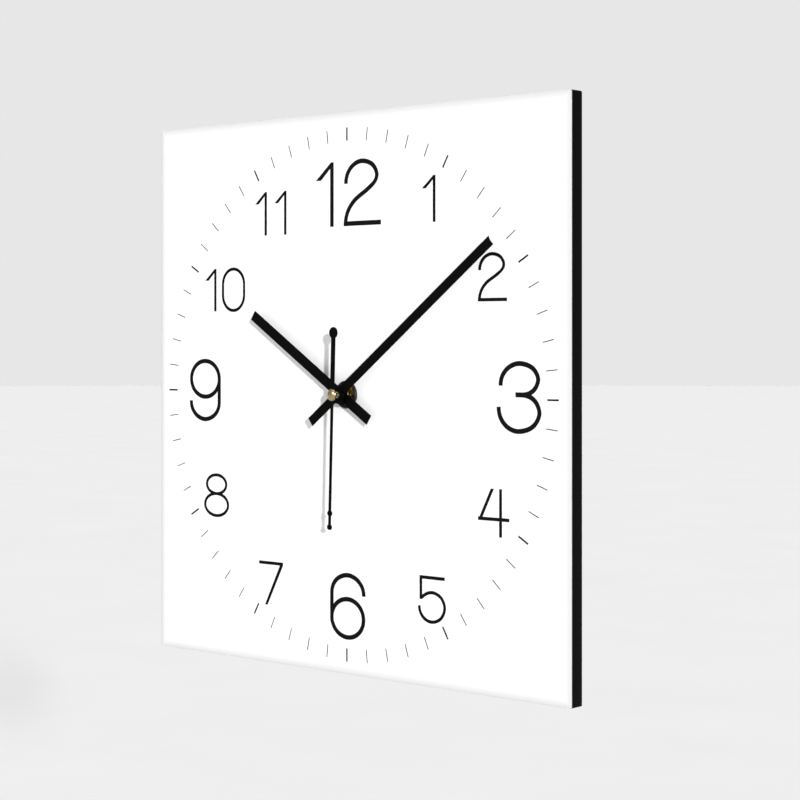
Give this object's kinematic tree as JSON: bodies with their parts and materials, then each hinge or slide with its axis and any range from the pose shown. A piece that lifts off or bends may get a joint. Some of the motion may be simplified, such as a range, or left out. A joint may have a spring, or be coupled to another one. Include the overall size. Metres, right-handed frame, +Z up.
{
  "type": "wall clock",
  "caption": "Square frameless wall clock: black-edged board, white face with numerals and a minute track, three baton hands and a battery quartz movement behind.",
  "frame": {"origin": "on the wall plane, on the hands' axis, at the back face of the movement's cover", "axes": "+Z up, +X to the right as the dial is read, +Y into the wall, so the dial faces -Y"},
  "size_m": [0.3, 0.0407, 0.3],
  "materials": {
    "face_white": "smooth white, semi-gloss",
    "board_black": "fibreboard painted matt black",
    "dial_ink": "charcoal screen print, matt",
    "hand_black": "thin sheet painted satin black",
    "brass_bright": "turned brass, bright",
    "washer_black": "black rubber, smooth",
    "spacer_rubber": "black rubber, matt",
    "hanger_steel": "zinc-plated sheet, lightly brushed",
    "case_black": "moulded, fine texture",
    "cover_black": "moulded, fine texture",
    "plate_white": "natural moulded plastic",
    "wheel_white": "natural moulded plastic, slightly waxy",
    "wheel_red": "moulded plastic, slightly waxy",
    "arbor_steel": "drawn steel, bright",
    "magnet_dark": "sintered magnet, dark grey",
    "stator_steel": "stamped soft iron, dull",
    "bobbin_green": "moulded plastic",
    "coil_copper": "enamelled copper wire, wound in layers",
    "circuit_brown": "phenolic board with a clear lacquer",
    "chip_epoxy": "black epoxy dome",
    "crystal_can": "drawn can, bright",
    "contact_nickel": "nickel-plated spring strip",
    "cell_sleeve": "plain dark metallic sleeve",
    "cell_cap": "nickel-plated cap",
    "knob_grey": "moulded knob with grip flutes"
  },
  "bodies": {
    "clock_body": {"face_sheet": "face_white", "board": "board_black", "numerals": "dial_ink", "hour_marks": "dial_ink", "minute_marks": "dial_ink", "dial_washer": "washer_black", "brass_washer": "brass_bright", "dial_nut": "brass_bright", "threaded_bushing": "brass_bright", "board_gasket": "washer_black", "hanger_plate": "hanger_steel", "wall_spacer_left": "spacer_rubber", "wall_spacer_right": "spacer_rubber", "movement_case": "case_black", "movement_cover": "cover_black", "train_plate": "plate_white", "positive_contact": "contact_nickel", "negative_contact": "contact_nickel", "circuit_board": "circuit_brown", "chip_cover": "chip_epoxy", "quartz_crystal": "crystal_can", "stator": "stator_steel", "coil_core": "stator_steel", "coil_bobbin": "bobbin_green", "coil_winding": "coil_copper"},
    "battery": {"battery_cell": "cell_sleeve", "battery_nub": "cell_cap"},
    "rotor": {"rotor_pinion": "wheel_white", "rotor_magnet": "magnet_dark"},
    "intermediate_set": {"intermediate_wheel": "wheel_white", "intermediate_pinion": "wheel_white"},
    "second_set": {"second_wheel": "wheel_red", "second_arbor": "arbor_steel", "second_hand": "hand_black", "second_hand_collet": "brass_bright", "second_hand_cap": "brass_bright"},
    "third_set": {"third_wheel": "wheel_white", "third_pinion": "wheel_white"},
    "centre_set": {"centre_wheel": "wheel_white"},
    "minute_set": {"minute_arbor": "brass_bright", "clutch_spring": "contact_nickel", "minute_hand": "hand_black", "minute_hand_collet": "brass_bright"},
    "hour_set": {"hour_wheel": "wheel_white", "hour_hand": "hand_black"},
    "setting_set": {"minute_wheel": "wheel_white", "setting_arbor": "arbor_steel", "setting_knob": "knob_grey"}
  },
  "joints": [
    {"name": "minute_hand_turn", "type": "hinge", "parent": "clock_body", "child": "minute_set", "pos_m": [0, 0, 0], "axis": [0, 1, 0], "continuous": true},
    {"name": "hour_hand_turn", "type": "hinge", "parent": "clock_body", "child": "hour_set", "pos_m": [0, 0, 0], "axis": [0, 1, 0], "continuous": true},
    {"name": "setting_knob_turn", "type": "hinge", "parent": "clock_body", "child": "setting_set", "pos_m": [0.012, 0, 0], "axis": [0, 1, 0], "continuous": true},
    {"name": "second_hand_turn", "type": "hinge", "parent": "clock_body", "child": "second_set", "pos_m": [0, 0, 0], "axis": [0, 1, 0], "continuous": true},
    {"name": "intermediate_turn", "type": "hinge", "parent": "clock_body", "child": "intermediate_set", "pos_m": [0.00742, 0, 0.00885], "axis": [0, 1, 0], "continuous": true},
    {"name": "rotor_turn", "type": "hinge", "parent": "clock_body", "child": "rotor", "pos_m": [0.01419, 0, 0.01131], "axis": [0, 1, 0], "continuous": true},
    {"name": "third_wheel_turn", "type": "hinge", "parent": "clock_body", "child": "third_set", "pos_m": [-0.00815, 0, 0.00815], "axis": [0, 1, 0], "continuous": true},
    {"name": "centre_wheel_turn", "type": "hinge", "parent": "clock_body", "child": "centre_set", "pos_m": [0, 0, 0], "axis": [0, 1, 0], "continuous": true},
    {"name": "battery_removal", "type": "slide", "parent": "clock_body", "child": "battery", "axis": [0, 1, 0], "range_m": [0, 0.03]}
  ],
  "couplings": [
    {"joint": "hour_hand_turn", "follows": "minute_hand_turn", "ratio": 0.083333},
    {"joint": "setting_knob_turn", "follows": "minute_hand_turn", "ratio": -0.33333},
    {"joint": "intermediate_turn", "follows": "second_hand_turn", "ratio": -6},
    {"joint": "rotor_turn", "follows": "second_hand_turn", "ratio": 30},
    {"joint": "third_wheel_turn", "follows": "second_hand_turn", "ratio": -0.13333},
    {"joint": "centre_wheel_turn", "follows": "second_hand_turn", "ratio": 0.016667}
  ]
}
